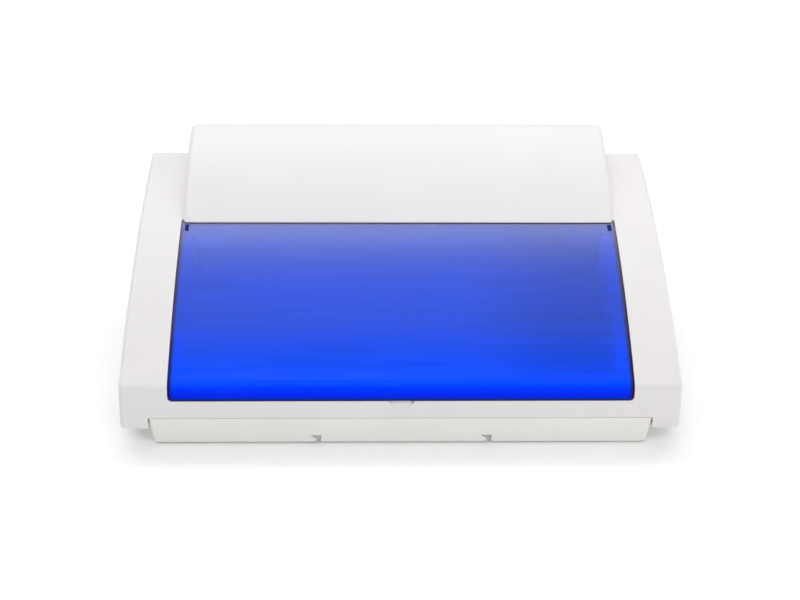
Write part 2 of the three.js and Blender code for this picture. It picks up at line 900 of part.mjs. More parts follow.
function hood() {
  const half = hoodWidth / 2;
  const bottom = lampHeight;
  const blank = acrossGeometry(hoodOutline(0, bottom), -half, half, hoodEdgeRound);
  const skin = solid(drafted(blank, hoodFrontHeight));
  const innerHalf = half - wall;
  const innerRound = hoodEdgeRound - wall;
  const core = acrossGeometry(hoodOutline(wall, bottom), -innerHalf, innerHalf, innerRound);
  const hollow = solid(drafted(core, hoodFrontHeight));
  const bosses = hoodBosses.map((p) => {
    return cut(
      upright(circle(postRadius, p), bottom, highAbove),
      upright(circle(screwHoleRadius, p), bottom, wingArch.heightAt(p.y) + hoodScrewGrip + fitGap),
    );
  });
  const shell = joined(cut(skin, hollow), joined(...bosses).intersect(skin));
  const deck = underArch(wingArch, {
    from: front,
    to: back,
    bottom: 0,
    depth: -fitGap,
    rearEase: rearCornerEase,
  });
  return cut(shell, across(deck, -bodyWidth, bodyWidth));
}
addPiece("hood", hood(), casingWhite);

// Lid: a bent sheet with a lug at each rear corner

function lidOutline(depth, bottom) {
  return underArch(wingArch, {
    from: front + depth,
    to: tailY,
    bottom,
    depth,
    frontEase: lidBendEase - depth,
  });
}

function lid() {
  const blank = across(lidOutline(0, lidLipHeight), -lidHalf, lidHalf);
  const face = lengthwise(lipFace(lidHalf, lidLipHeight, lidCornerEase), front, tailY);
  const inside = across(lidOutline(lidThickness, 0), -bodyWidth, bodyWidth);
  const sheet = cut(blank.intersect(face), inside);
  const lugBody = circle(lugRadius, hingeCentre);
  const stem = [
    at(hingeY - lugRadius, hingeZ),
    at(hingeY + lugRadius, hingeZ),
    at(hingeY + lugRadius, wingArch.heightAt(hingeY + lugRadius, lidThickness / 2)),
    at(hingeY - lugRadius, wingArch.heightAt(hingeY - lugRadius, lidThickness / 2)),
  ];
  const outer = lidHalf - lugInset;
  const inner = outer - lugThickness;
  const lugs = joined(mirroredAcross(lugBody, inner, outer), mirroredAcross(stem, inner, outer));
  const bores = mirroredAcross(circle(boreRadius, hingeCentre), inner - wall, outer + wall);
  return cut(sheet.add(lugs), bores);
}
addPiece("lid", lid(), lidBlue);

sides.forEach(({ name, sign }) => {
  const start = lidHalf - lugInset - lugThickness;
  const pin = atEnd(sign, circle(hingePinRadius, hingeCentre), start, pinEnd);
  addPiece(`hinge_pin_${name}`, pin, plated);
});

// Chamber liner: an open trough of stainless sheet, held between the base posts and the ledge

const linerUnder = ledgeUnder + fitGap;
const socketStubPlace = at(lampY, lampHeight);

function linerOutline(inset, depth) {
  const outline = underArch(wingArch, {
    from: linerFront + inset,
    to: linerBack - inset,
    bottom: linerFloorHeight + inset,
    depth,
  });
  const [frontBottom, backBottom] = outline;
  const bend = linerBendEase - inset;
  return eased(eased(outline, frontBottom, bend), backBottom, bend);
}

function chamberLiner() {
  const outer = across(linerOutline(0, linerUnder), -linerHalf, linerHalf);
  const innerHalf = linerHalf - linerSheet;
  const inner = across(linerOutline(linerSheet, -cutOverrun), -innerHalf, innerHalf);
  const stubHole = circle(socketStubRadius + fitGap, socketStubPlace);
  const tailRoom = rectangle(pocketFront, pocketFloor, deckFront, highAbove);
  return cut(
    outer,
    inner,
    mirroredAcross(stubHole, innerHalf - wall, linerHalf + wall),
    across(tailRoom, -linerWidth, linerWidth),
  );
}
addPiece("chamber_liner", chamberLiner(), stainless);

// Reflector over the lamp

function lampReflector() {
  const span = THREE.MathUtils.degToRad(reflectorSpanDegrees);
  const start = THREE.MathUtils.degToRad(reflectorTiltDegrees) - span / 2;
  const ring = (radius, from, turn) => {
    return Array.from({ length: archSteps + 1 }, (_, i) => {
      const angle = from + (turn * i) / archSteps;
      return at(lampY + radius * Math.cos(angle), lampHeight + radius * Math.sin(angle));
    });
  };
  const outline = [
    ...ring(reflectorRadius + linerSheet, start, span),
    ...ring(reflectorRadius, start + span, -span),
  ];
  const half = lampLength / 2 - reflectorEndGap;
  return across(outline, -half, half);
}
addPiece("lamp_reflector", lampReflector(), stainless);

// Lamp: a glass tube with an end cap and two contact pins at each end

const glassRadius = lampRadius - capThickness - fitGap;
const lampHalf = lampLength / 2;
const lampCentre = at(lampY, lampHeight);
const glassHalf = lampHalf - capThickness - fitGap;
const glassTube = cut(
  across(circle(glassRadius, lampCentre), -glassHalf, glassHalf),
  across(circle(glassRadius - lampGlassWall, lampCentre), -lampLength, lampLength),
);
addPiece("lamp_tube", glassTube, lampGlass);

const socketFace = lampHalf + fitGap + socketRunningGap;
const socketEnd = linerHalf - linerSheet - fitGap;
const rotorStart = socketFace + fitGap;
const rotorEnd = rotorStart + lampPinLength + rotorFloor;
const pinPlaces = [-1, 1].map((s) => at(lampY + (s * lampPinSpacing) / 2, lampHeight));

for (const { name, sign } of sides) {
  const cup = cut(
    atEnd(sign, circle(lampRadius, lampCentre), lampHalf - capLength, lampHalf),
    atEnd(sign, circle(lampRadius - capThickness, lampCentre), 0, lampHalf - capThickness),
  );
  const pins = pinPlaces.map((p) => {
    const from = lampHalf - capThickness;
    return atEnd(sign, circle(lampPinRadius, p, smallSides), from, lampHalf + lampPinLength);
  });
  addPiece(`lamp_cap_${name}`, joined(cup, ...pins), metal("#b9bcbf"));

  // The rotor grips both pins in a slot and turns with the lamp
  const slotHalf = lampPinRadius + fitGap;
  const slot = rectangle(
    lampY - 2 * rotorRadius,
    lampHeight - slotHalf,
    lampY + 2 * rotorRadius,
    lampHeight + slotHalf,
  );
  const slotEnd = lampHalf + lampPinLength + fitGap;
  const rotor = cut(
    atEnd(sign, circle(rotorRadius, lampCentre), rotorStart, rotorEnd),
    atEnd(sign, slot, lampHalf, slotEnd),
  );
  addPiece(`socket_rotor_${name}`, rotor, socketWhite);

  // The socket: a rounded block with a bore for the rotor, an entry slot and a stub at the back
  const half = socketWidth / 2;
  const body = [
    at(lampY - half, lampHeight - socketDrop),
    at(lampY + half, lampHeight - socketDrop),
    at(lampY + half, lampHeight + socketRise),
    at(lampY - half, lampHeight + socketRise),
  ];
  const [, , rearTop, frontTop] = body;
  const topEase = half * socketRoundShare;
  const outline = eased(eased(body, rearTop, topEase), frontTop, topEase);
  const entry = rectangle(
    lampY - slotHalf,
    lampHeight - socketDrop - cutOverrun,
    lampY + slotHalf,
    lampHeight,
  );
  const socket = cut(
    atEnd(sign, outline, socketFace, socketEnd),
    atEnd(sign, circle(rotorRadius + fitGap, lampCentre), 0, rotorEnd + fitGap),
    atEnd(sign, entry, 0, slotEnd),
  );
  const stubEnd = linerHalf + socketStubReach;
  const stub = atEnd(sign, circle(socketStubRadius, socketStubPlace), socketEnd - wall, stubEnd);
  addPiece(`lamp_socket_${name}`, socket.add(stub), socketWhite);
}

// Ballast, starter with its holder, and terminal block, standing on the base

const seat = baseFloorTop + fitGap;
const fittingY = back - fittingInset;
const terminalX = panelCentreX;
const starterX = terminalX - terminalLength / 2 - fittingGap - starterHolderWidth / 2;
const ballastHalf = ballastLength / 2 + ballastFlange;
const ballastX = starterX - starterHolderWidth / 2 - fittingGap - ballastHalf;

function ballast() {
  const bodyHalf = ballastLength / 2;
  const foot = upright(
    roundedRectangle(2 * ballastHalf, ballastWidth, ballastCorner, at(ballastX, fittingY)),
    seat,
    seat + ballastFlangeThickness,
  );
  const core = roundedRectangle(
    ballastWidth - 2 * fitGap,
    ballastHeight,
    ballastCorner,
    at(fittingY, seat + ballastFlangeThickness / 2 + ballastHeight / 2),
  );
  const holes = [-1, 1].map((s) => {
    const x = ballastX + s * (bodyHalf + ballastFlange / 2);
    return upright(circle(screwHoleRadius, at(x, fittingY), smallSides), 0, seat + ballastHeight);
  });
  const body = across(core, ballastX - bodyHalf, ballastX + bodyHalf);
  return cut(foot.add(body), ...holes);
}
addPiece("ballast", ballast(), enamel);

const starterPlace = at(starterX, fittingY);
const holderTop = seat + starterHolderHeight;
const starterPinPlaces = [-1, 1].map((s) => at(starterX + s * starterPinOffset, fittingY));

function starterHolder() {
  const outline = roundedRectangle(
    starterHolderWidth,
    starterHolderWidth,
    ballastCorner,
    starterPlace,
  );
  const well = circle(starterRadius + fitGap, starterPlace);
  const wellFloor = holderTop - starterHolderHeight * holderWellShare;
  const pinHoles = starterPinPlaces.map((p) => {
    const low = wellFloor - starterPinLength - fitGap;
    return upright(circle(starterPinRadius + fitGap, p, smallSides), low, holderTop);
  });
  return cut(upright(outline, seat, holderTop), upright(well, wellFloor, holderTop + wall), ...pinHoles);
}
addPiece("starter_holder", starterHolder(), socketWhite);

function starter() {
  const low = holderTop - starterHolderHeight * holderWellShare + fitGap;
  const high = low + starterLength;
  const soft = starterRadius * starterRoundShare;
  const profile = [
    at(0, low),
    at(starterRadius, low),
    at(starterRadius, high - soft),
    at(starterRadius - soft * (1 - Math.SQRT1_2), high - soft * (1 - Math.SQRT1_2)),
    at(starterRadius - soft, high),
    at(0, high),
  ];
  const can = solid(turned(profile).translate(starterX, fittingY, 0));
  const pins = starterPinPlaces.map((p) => {
    return upright(circle(starterPinRadius, p, smallSides), low - starterPinLength, low + wall);
  });
  return joined(can, ...pins);
}
addPiece("starter", starter(), socketWhite);

function terminalBlock() {
  const x0 = terminalX - terminalLength / 2;
  const pitch = terminalLength / terminalWays;
  const y0 = fittingY - terminalWidth / 2;
  const y1 = fittingY + terminalWidth / 2;
  const ledge = terminalWidth * terminalLedgeShare;
  const profile = [
    at(y0, seat),
    at(y1, seat),
    at(y1, seat + terminalHeight / 2),
    at(y1 - ledge, seat + terminalHeight),
    at(y0 + ledge, seat + terminalHeight),
    at(y0, seat + terminalHeight / 2),
  ];
  const bar = across(profile, x0, x0 + terminalLength);
  const notches = Array.from({ length: terminalWays - 1 }, (_, i) => {
    const x = x0 + (i + 1) * pitch;
    const half = pitch * terminalNotchShare;
    return block(x - half, x + half, y0 - wall, y1 + wall, seat + terminalHeight / 2, holderTop + wall);
  });
  const wireHoles = Array.from({ length: terminalWays }, (_, i) => {
    const centre = at(x0 + (i + 1 / 2) * pitch, seat + terminalHeight * terminalHoleShare);
    return lengthwise(circle(leadRadius + fitGap, centre, smallSides), y0 - wall, y1 + wall);
  });
  return cut(bar, ...notches, ...wireHoles);
}
addPiece("terminal_block", terminalBlock(), socketWhite);

// Lid interlock: a plunger through the ledge works a switch on the side of the liner

function interlockSwitch() {
  const x0 = linerHalf + fitGap;
  const half = switchBodyLength / 2;
  const bottom = switchTop - switchBodyHeight;
  const body = block(
    x0,
    x0 + switchBodyThickness,
    interlockY - half,
    interlockY + half,
    bottom,
    switchTop,
  );
  const bore = circle(plungerRadius + fitGap, at(plungerX, interlockY), smallSides);
  const fixings = [-1, 1].map((s) => {
    const centre = at(interlockY + s * half * switchFixingShare, bottom + wall);
    return across(circle(switchFixingRadius, centre, smallSides), 0, bodyWidth);
  });
  return cut(body, upright(bore, switchTop - buttonSink - fitGap, highAbove), ...fixings);
}
addPiece("interlock_switch", interlockSwitch(), black);

const plungerOutline = circle(plungerRadius, at(plungerX, interlockY), smallSides);
addPiece("interlock_plunger", upright(plungerOutline, switchTop - buttonSink, plungerTop), socketWhite);

// Power switch: a rocker on two pins in a frame

const rockerFront = panelFace + fitGap + frameThickness;
const rockerPivot = at(rockerFront - rockerPivotDepth, panelCentreHeight);
const frameBack = panelFace - frameBodyDepth;

function switchFrame() {
  const rimWidth = frameBodyWidth + 2 * frameRim;
  const rimHeight = frameBodyHeight + 2 * frameRim;
  const rim = roundedRectangle(rimWidth, rimHeight, panelCorner, rockerCentre);
  const body = roundedRectangle(frameBodyWidth, frameBodyHeight, frameWall / 2, rockerCentre);
  const well = roundedRectangle(frameInnerWidth, frameInnerHeight, frameWall / 3, rockerCentre);
  const pinHole = circle(rockerPinRadius + fitGap, rockerPivot, smallSides);
  const half = frameBodyWidth / 2 + fitGap;
  return cut(
    joined(
      lengthwise(rim, panelFace + fitGap, rockerFront),
      lengthwise(body, frameBack, rockerFront - frameThickness / 2),
    ),
    lengthwise(well, frameBack + frameFloor, back),
    across(pinHole, rockerCentre.x - half, rockerCentre.x + half),
  );
}
addPiece("switch_frame", switchFrame(), black);

// The rocker is drawn level and then tilted to its off position about its pins
function rocker() {
  const half = rockerHeight / 2;
  const rear = rockerThickness;
  const profile = [
    at(-rear, -half / 2),
    at(0, -half),
    at(-rockerDish, 0),
    at(0, half),
    at(-rear, half / 2),
  ].map((p) => at(p.x + rockerPivotDepth, p.y));
  const body = acrossGeometry(profile, -rockerWidth / 2, rockerWidth / 2);
  const pinHalf = rockerWidth / 2 + rockerPinLength;
  const pins = acrossGeometry(circle(rockerPinRadius, at(0, 0), smallSides), -pinHalf, pinHalf);
  return [body, pins].map((geometry) => {
    const tilt = THREE.MathUtils.degToRad(rockerTiltDegrees);
    return solid(geometry.rotateX(tilt).translate(rockerCentre.x, rockerPivot.x, rockerPivot.y));
  });
}
addPiece("power_rocker", joined(...rocker()), black);

// Mains inlet for a two-pin appliance lead

const inletPins = [-1, 1].map((s) => at(inletCentre.x + (s * inletSocketSpacing) / 2, panelCentreHeight));

function inletBody() {
  const rimWidth = inletWidth + 2 * frameRim;
  const rimHeight = inletHeight + 2 * frameRim;
  const rim = roundedRectangle(rimWidth, rimHeight, panelCorner, inletCentre);
  const body = roundedRectangle(inletWidth, inletHeight, frameWall / 2, inletCentre);
  const rimFront = panelFace + fitGap + frameThickness;
  const floor = rimFront - inletSocketDepth;
  const wells = inletPins.map((p) => lengthwise(circle(inletSocketRadius, p), floor, back));
  const bridge = rectangle(
    inletCentre.x - inletSocketSpacing / 2,
    panelCentreHeight - inletSocketRadius * inletBridgeShare,
    inletCentre.x + inletSocketSpacing / 2,
    panelCentreHeight + inletSocketRadius * inletBridgeShare,
  );
  const holes = inletPins.map((p) => {
    return lengthwise(circle(inletPinRadius + fitGap, p, smallSides), 0, back);
  });
  return cut(
    joined(
      lengthwise(rim, panelFace + fitGap, rimFront),
      lengthwise(body, panelFace - inletBodyDepth, rimFront - frameThickness / 2),
    ),
    ...wells,
    lengthwise(bridge, floor, back),
    ...holes,
  );
}
addPiece("power_inlet", inletBody(), black);

sides.forEach(({ name }, i) => {
  const pinBack = panelFace - inletBodyDepth - inletTagLength;
  const pinFront = panelFace + frameThickness + fitGap - inletSocketDepth + inletPinLength;
  const outline = circle(inletPinRadius, inletPins[i], smallSides);
  addPiece(`inlet_pin_${name}`, lengthwise(outline, pinBack, pinFront), brass);
});

export default steriliser;
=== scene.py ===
"""Countertop ultraviolet steriliser: white moulded casing, raised hood, clear blue lid.

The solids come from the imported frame. Each section below dresses one piece, or one group
of like pieces, in the order in which the real thing is put together. Metres throughout.
"""

import math

import bmesh
import bpy
from mathutils import Matrix, Vector


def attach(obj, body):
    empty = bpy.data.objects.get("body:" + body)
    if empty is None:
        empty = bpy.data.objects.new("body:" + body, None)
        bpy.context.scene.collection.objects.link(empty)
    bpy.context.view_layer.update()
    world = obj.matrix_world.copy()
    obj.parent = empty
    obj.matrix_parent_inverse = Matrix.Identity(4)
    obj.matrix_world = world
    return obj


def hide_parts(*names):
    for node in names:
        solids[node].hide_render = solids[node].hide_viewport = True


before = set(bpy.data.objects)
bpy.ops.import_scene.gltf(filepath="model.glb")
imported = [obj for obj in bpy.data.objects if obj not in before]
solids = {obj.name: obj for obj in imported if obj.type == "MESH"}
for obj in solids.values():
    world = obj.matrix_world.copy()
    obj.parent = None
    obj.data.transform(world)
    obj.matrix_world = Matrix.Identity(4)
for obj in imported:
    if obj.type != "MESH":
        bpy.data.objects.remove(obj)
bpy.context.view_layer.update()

# Camera: a short telephoto a little over a metre away, about 30 degrees above the table
# and almost on the centre line, tipped a touch to the right as the photograph is.

eye = Vector((-0.02965, -1.0837, 0.68098))
turn, dip, tip = 0.02852, 0.52209, 0.0138
focal_length, film_width = 67.77, 36

ahead = Vector((math.sin(turn) * math.cos(dip), math.cos(turn) * math.cos(dip), -math.sin(dip)))
level = Vector((math.cos(turn), -math.sin(turn), 0))
rise = level.cross(ahead)
across = level * math.cos(tip) + rise * math.sin(tip)
upward = rise * math.cos(tip) - level * math.sin(tip)

lens = bpy.data.cameras.new("camera")
lens.lens, lens.sensor_width = focal_length, film_width
camera = bpy.data.objects.new("camera", lens)
aim = Matrix((across, upward, -ahead)).transposed().to_4x4()
camera.matrix_world = Matrix.Translation(eye) @ aim
bpy.context.collection.objects.link(camera)
bpy.context.scene.camera = camera

# Room: a white studio, which the eye sees plain white. What lights the object is a dome,
# even all round and dark straight overhead, with a long bright bank high up at the back
# that the lid mirrors. The left end of the bank is the brighter one.

bpy.context.scene.view_settings.view_transform = "Standard"
walls_light = 0.38
dome_low, dome_high = 0.50, 0.80  # how steep a direction is where walls end and bank begins
bank_peak, bank_left, bank_right = 5.0, 1.35, 0.8
# How far a direction leans to the back, and how bright the bank is there
bank_levels = ((-0.75, 1.0), (-0.60, 1.5), (-0.40, 1.7), (-0.22, 1.2), (-0.13, 0.05), (-0.07, 0.04),
               (-0.01, 0.18), (0.03, 0.44), (0.09, 0.90), (0.25, 1.10), (0.33, 1.38), (0.375, 1.8),
               (0.415, 2.4), (0.45, 3.5), (0.49, 5.0), (0.54, 4.6), (0.62, 1.4), (0.75, 0.9))


def wire(tree, kind, settings=None, **sockets):
    """A shader node, with its settings, and its sockets set or joined."""
    part = tree.nodes.new(kind)
    for name, value in (settings or {}).items():
        setattr(part, name, value)
    for name, value in sockets.items():
        socket = part.inputs[int(name[1:]) if name[1:].isdigit() else name.replace("_", " ")]
        if isinstance(value, bpy.types.NodeSocket):
            tree.links.new(value, socket)
        else:
            socket.default_value = value
    return part


def reckon(tree, operation, *values):
    """One step of arithmetic on up to three values."""
    return wire(tree, "ShaderNodeMath", {"operation": operation},
                **{f"_{number}": value for number, value in enumerate(values)}).outputs[0]


def slope(tree, value, start, end, low=0.0, high=1.0, way="LINEAR"):
    """Goes from low to high as the value goes from start to end, and stays there."""
    return wire(tree, "ShaderNodeMapRange", {"interpolation_type": way}, Value=value,
                From_Min=start, From_Max=end, To_Min=low, To_Max=high).outputs[0]


def shaded(tree, value, stops, way="LINEAR"):
    """The colours of the stops, each at its share of the way."""
    ramp = wire(tree, "ShaderNodeValToRGB", Fac=value)
    ramp.color_ramp.interpolation = way
    marks = ramp.color_ramp.elements
    marks.remove(marks[1])
    for number, (share, colour) in enumerate(stops):
        mark = marks[0] if number == 0 else marks.new(share)
        mark.position, mark.color = share, (*colour, 1)
    return ramp.outputs[0]


def sight_rays(tree):
    """What kind of ray looks, and whether it comes by way of a mirror or through glass."""
    sight = tree.nodes.new("ShaderNodeLightPath").outputs
    return sight, reckon(tree, "MAXIMUM", sight["Is Glossy Ray"], sight["Is Transmission Ray"])


room = bpy.data.worlds.new("room")
bpy.context.scene.world = room
room.use_nodes = True
tree = room.node_tree
direction = tree.nodes.new("ShaderNodeTexCoord").outputs["Generated"]
toward = wire(tree, "ShaderNodeSeparateXYZ", Vector=direction).outputs
bank = shaded(tree, slope(tree, toward["Y"], -1.0, 1.0),
              [((leaning + 1) / 2, (light / bank_peak,) * 3) for leaning, light in bank_levels])
from_left = slope(tree, toward["X"], -1.0, 1.0, bank_left * bank_peak, bank_right * bank_peak)
high_up = slope(tree, toward["Z"], dome_low, dome_high, way="SMOOTHSTEP")
sight, mirrored = sight_rays(tree)
walls = slope(tree, mirrored, 0.0, 1.0, walls_light, 1.0)
dome = wire(tree, "ShaderNodeMix", _0=high_up, _2=walls, _3=reckon(tree, "MULTIPLY", bank, from_left))
seen = wire(tree, "ShaderNodeMix", _0=sight["Is Camera Ray"], _2=dome.outputs[0], _3=1.0)
tree.links.new(seen.outputs[0], tree.nodes["Background"].inputs["Strength"])
tree.nodes["Background"].inputs["Color"].default_value = (1, 1, 1, 1)

# Table: a seamless sweep of white board, matt, that runs out of sight. A weak lamp in
# front on the right warms the sides that face it.

table_reach, board_white, board_matt, board_glow = 4.0, 0.9, 0.9, 0.13
corners = [(-1, -1), (1, -1), (1, 1), (-1, 1)]
table = bpy.data.meshes.new("table")
table.from_pydata([(x * table_reach, y * table_reach, 0) for x, y in corners], [], [range(4)])
table_top = bpy.data.objects.new("table_top", table)
bpy.context.collection.objects.link(table_top)
white_board = bpy.data.materials.new("white_board")
white_board.use_nodes = True
table.materials.append(white_board)
tree = white_board.node_tree
paint = tree.nodes["Principled BSDF"].inputs
paint["Base Color"].default_value = (board_white, board_white, board_white, 1)
paint["Roughness"].default_value = board_matt
paint["Specular IOR Level"].default_value = 0
paint["Emission Color"].default_value = (1, 1, 1, 1)
sight, mirrored = sight_rays(tree)
seen = reckon(tree, "MAXIMUM", sight["Is Camera Ray"], mirrored)
tree.links.new(reckon(tree, "MULTIPLY", seen, board_glow), paint["Emission Strength"])

lamp_place, lamp_target = Vector((1.5, -1.6, 0.5)), Vector((0, 0, 0.05))
lamp_size, lamp_watts, lamp_warmth = 0.8, 8, (1, 0.995, 0.975)
front_right = bpy.data.lights.new("front_right", "AREA")
front_right.size, front_right.energy, front_right.color = lamp_size, lamp_watts, lamp_warmth
lamp_stand = bpy.data.objects.new("front_right", front_right)
lamp_stand.location = lamp_place
lamp_stand.rotation_mode = "QUATERNION"
lamp_stand.rotation_quaternion = (lamp_target - lamp_place).to_track_quat("-Z", "Y")
bpy.context.collection.objects.link(lamp_stand)

# Base tray: the ivory white tray that closes the casing from below. Moulded in ABS with
# a satin bloom; the two notches in its front edge are greyed with painted shade.

notch_x, notch_y, notch_top = 0.066, -0.1239, 0.0088
notch_half_width, notch_half_depth, notch_painted_shade = 0.0055, 0.0009, (0.55, 0.54, 0.51)
smooth_below, round_above, flat_within = math.radians(48), math.radians(35), math.radians(0.5)
weld_within, edge_steps = 0.00001, 2


def finish(name):
    """A new material, its tree, its shader and its place on the piece."""
    material = bpy.data.materials.new(name)
    material.use_nodes = True
    tree = material.node_tree
    place = tree.nodes.new("ShaderNodeTexCoord").outputs["Object"]
    return material, tree, tree.nodes["Principled BSDF"], place


def stretched(tree, place, stretch):
    """The place, drawn out so that noise runs long where the stretch is small."""
    return wire(tree, "ShaderNodeMapping", Vector=place, Scale=stretch).outputs[0]


def cloud(tree, place, scale, detail=2.0, roughness=0.5):
    """Noise whose spots are about one over scale across."""
    return wire(tree, "ShaderNodeTexNoise", Vector=place, Scale=scale, Detail=detail,
                Roughness=roughness).outputs["Fac"]


def between(tree, amount, low, high):
    """Low to high as the noise goes over its middle range."""
    return slope(tree, amount, 0.3, 0.7, low, high)


def tinted(tree, amount, one, other):
    """Goes from one colour, or what already colours the piece, to the other."""
    mix = wire(tree, "ShaderNodeMix", {"data_type": "RGBA"}, _0=amount)
    if isinstance(one, bpy.types.NodeSocket):
        tree.links.new(one, mix.inputs[6])
    else:
        mix.inputs[6].default_value = (*one, 1)
    mix.inputs[7].default_value = (*other, 1)
    return mix.outputs[2]


def raised(tree, height, depth, strength=0.5):
    """Bump of the given depth in metres."""
    return wire(tree, "ShaderNodeBump", Height=height, Distance=depth, Strength=strength).outputs[0]


def moulded(name, tone, shade, gloss, grain=1400, grain_depth=0.00002):
    """Moulded plastic: a slightly uneven tone under fine mould grain."""
    material, tree, shader, place = finish(name)
    wide, fine = cloud(tree, place, 14, 3), cloud(tree, place, grain, 3)
    tree.links.new(tinted(tree, between(tree, wide, 0, 1), tone, shade), shader.inputs["Base Color"])
    tree.links.new(between(tree, fine, gloss - 0.05, gloss + 0.05), shader.inputs["Roughness"])
    tree.links.new(raised(tree, fine, grain_depth), shader.inputs["Normal"])
    return material


def whereabouts(material):
    """The X, Y and Z of a point on the piece."""
    tree = material.node_tree
    place = tree.nodes["Texture Coordinate"].outputs["Object"]
    return wire(tree, "ShaderNodeSeparateXYZ", Vector=place).outputs


def stain(material, mask, colour):
    """Changes the material's colour where the mask says."""
    tree = material.node_tree
    paint = tree.nodes["Principled BSDF"].inputs["Base Color"]
    tree.links.new(tinted(tree, mask, paint.links[0].from_socket, colour), paint)


tray_plastic = moulded("tray_plastic", (0.87, 0.86, 0.825), (0.85, 0.835, 0.80), 0.42)
tree, spot = tray_plastic.node_tree, whereabouts(tray_plastic)
# Painted shade: the inside of each notch is greyed to stand in for the shadow in the recess.
beside = reckon(tree, "COMPARE", reckon(tree, "ABSOLUTE", spot["X"]), notch_x, notch_half_width)
inside = reckon(tree, "COMPARE", spot["Y"], notch_y, notch_half_depth)
below = reckon(tree, "LESS_THAN", spot["Z"], notch_top)
in_notch = reckon(tree, "MULTIPLY", reckon(tree, "MULTIPLY", beside, inside), below)
stain(tray_plastic, in_notch, notch_painted_shade)


def shape_tool(name, kind, smooth):
    """A modifier made of nodes, which shades the gentle curves smooth or welds the seams."""
    tool = bpy.data.node_groups.new(name, "GeometryNodeTree")
    for way in ("INPUT", "OUTPUT"):
        tool.interface.new_socket("Geometry", in_out=way, socket_type="NodeSocketGeometry")
    faces = tool.nodes.new("NodeGroupInput").outputs[0]
    if smooth:
        fold = tool.nodes.new("GeometryNodeInputMeshEdgeAngle").outputs["Unsigned Angle"]
        gentle = wire(tool, "FunctionNodeCompare", {"operation": "LESS_THAN"}, _0=fold, _1=smooth_below)
        faces = wire(tool, kind, Geometry=faces, Shade_Smooth=True).outputs[0]
        done = wire(tool, kind, {"domain": "EDGE"}, Geometry=faces, Shade_Smooth=gentle.outputs[0])
    else:
        done = wire(tool, kind, Geometry=faces, Distance=weld_within)
    tool.links.new(done.outputs[0], tool.nodes.new("NodeGroupOutput").inputs[0])
    return tool


weld_seams = shape_tool("weld_seams", "GeometryNodeMergeByDistance", False)
shade_curves = shape_tool("shade_curves", "GeometryNodeSetShadeSmooth", True)


def dress(name, material, edge=0.00035):
    """Gives a solid of the frame its finish, and rounds its edges off as its mould or die does."""
    piece = solids[name]
    piece.data.materials.clear()
    piece.data.materials.append(material)
    piece.modifiers.new("welded", "NODES").node_group = weld_seams
    flat = piece.modifiers.new("flat_faces", "DECIMATE")
    flat.decimate_type, flat.angle_limit = "DISSOLVE", flat_within
    soft = piece.modifiers.new("soft_edges", "BEVEL")
    soft.width, soft.segments, soft.limit_method = edge, edge_steps, "ANGLE"
    soft.angle_limit, soft.use_clamp_overlap = round_above, False
    piece.modifiers.new("shaded", "NODES").node_group = shade_curves
    piece.modifiers.new("even", "WEIGHTED_NORMAL").keep_sharp = True


dress("base_tray", tray_plastic, 0.0003)

# Feet: four soft grey rubber buttons pushed through the tray. The rubber is matt, with
# a dusty bloom.

foot_rubber = moulded("foot_rubber", (0.20, 0.20, 0.21), (0.26, 0.26, 0.27), 0.8, 900, 0.00005)
for number in range(1, 5):
    dress(f"foot_{number}", foot_rubber)

# Screws: zinc-plated steel, four up through the tray and four into the hood, with the
# slightly yellow passivated bloom of plating.


def metal(name, tone, shade, gloss, stretch=(1, 1, 1), grain=600, grain_depth=0.00001):
    """Bare metal with grain that the stretch draws out in one direction."""
    material, tree, shader, place = finish(name)
    fine = cloud(tree, stretched(tree, place, stretch), grain, 4, 0.6)
    tree.links.new(tinted(tree, between(tree, fine, 0, 1), tone, shade), shader.inputs["Base Color"])
    tree.links.new(between(tree, fine, gloss - 0.06, gloss + 0.08), shader.inputs["Roughness"])
    tree.links.new(raised(tree, fine, grain_depth), shader.inputs["Normal"])
    shader.inputs["Metallic"].default_value = 1
    return material


screw_steel = metal("screw_steel", (0.62, 0.61, 0.58), (0.70, 0.69, 0.64), 0.3)
for number in range(1, 5):
    dress(f"base_screw_{number}", screw_steel)
    dress(f"hood_screw_{number}", screw_steel)

# Top casing: both wings, the front lip with its finger grip, the ledges for the lid, the
# deck and the rear wall, in one moulding of white ABS.

casing_plastic = moulded("casing_plastic", (0.815, 0.795, 0.79), (0.79, 0.77, 0.765), 0.45)
dress("top_casing", casing_plastic)

# Chamber liner: an open trough of stainless sheet, folded to the casing's shape. Its
# brushed grain runs from side to side, and high on its rear wall, under the lamp, a painted shadow
# darkens it.

shadow_from_y, shadow_low, shadow_high, liner_painted_shadow = 0.03, 0.025, 0.095, (0.10, 0.085, 0.07)
liner_steel = metal("liner_steel", (0.86, 0.87, 0.88), (0.95, 0.95, 0.96), 0.38, (0.02, 1, 1), 500)
tree, spot = liner_steel.node_tree, whereabouts(liner_steel)
# Painted shadow: the rear of the liner darkens towards its top, under the lamp.
behind = reckon(tree, "GREATER_THAN", spot["Y"], shadow_from_y)
near_lamp = slope(tree, spot["Z"], shadow_low, shadow_high, way="SMOOTHSTEP")
stain(liner_steel, reckon(tree, "MULTIPLY", behind, near_lamp), liner_painted_shadow)
dress("chamber_liner", liner_steel)

# Lamp reflector: a bent strip of the same stainless, tinted dull by the lamp's heat.

reflector_steel = metal("reflector_steel", (0.26, 0.25, 0.24), (0.34, 0.32, 0.30), 0.2, (0.03, 1, 1))
dress("lamp_reflector", reflector_steel)

# Lamp sockets and their turning rotors: glossy white urea plastic, moulded.

socket_plastic = moulded("socket_plastic", (0.82, 0.82, 0.80), (0.78, 0.78, 0.75), 0.25, 1100, 0.00001)
for side in ("left", "right"):
    dress(f"lamp_socket_{side}", socket_plastic)
    dress(f"socket_rotor_{side}", socket_plastic)

# Lamp: a clear quartz tube with a spun aluminium cap cemented on each end. Drawing the
# tube has left faint lines along it.

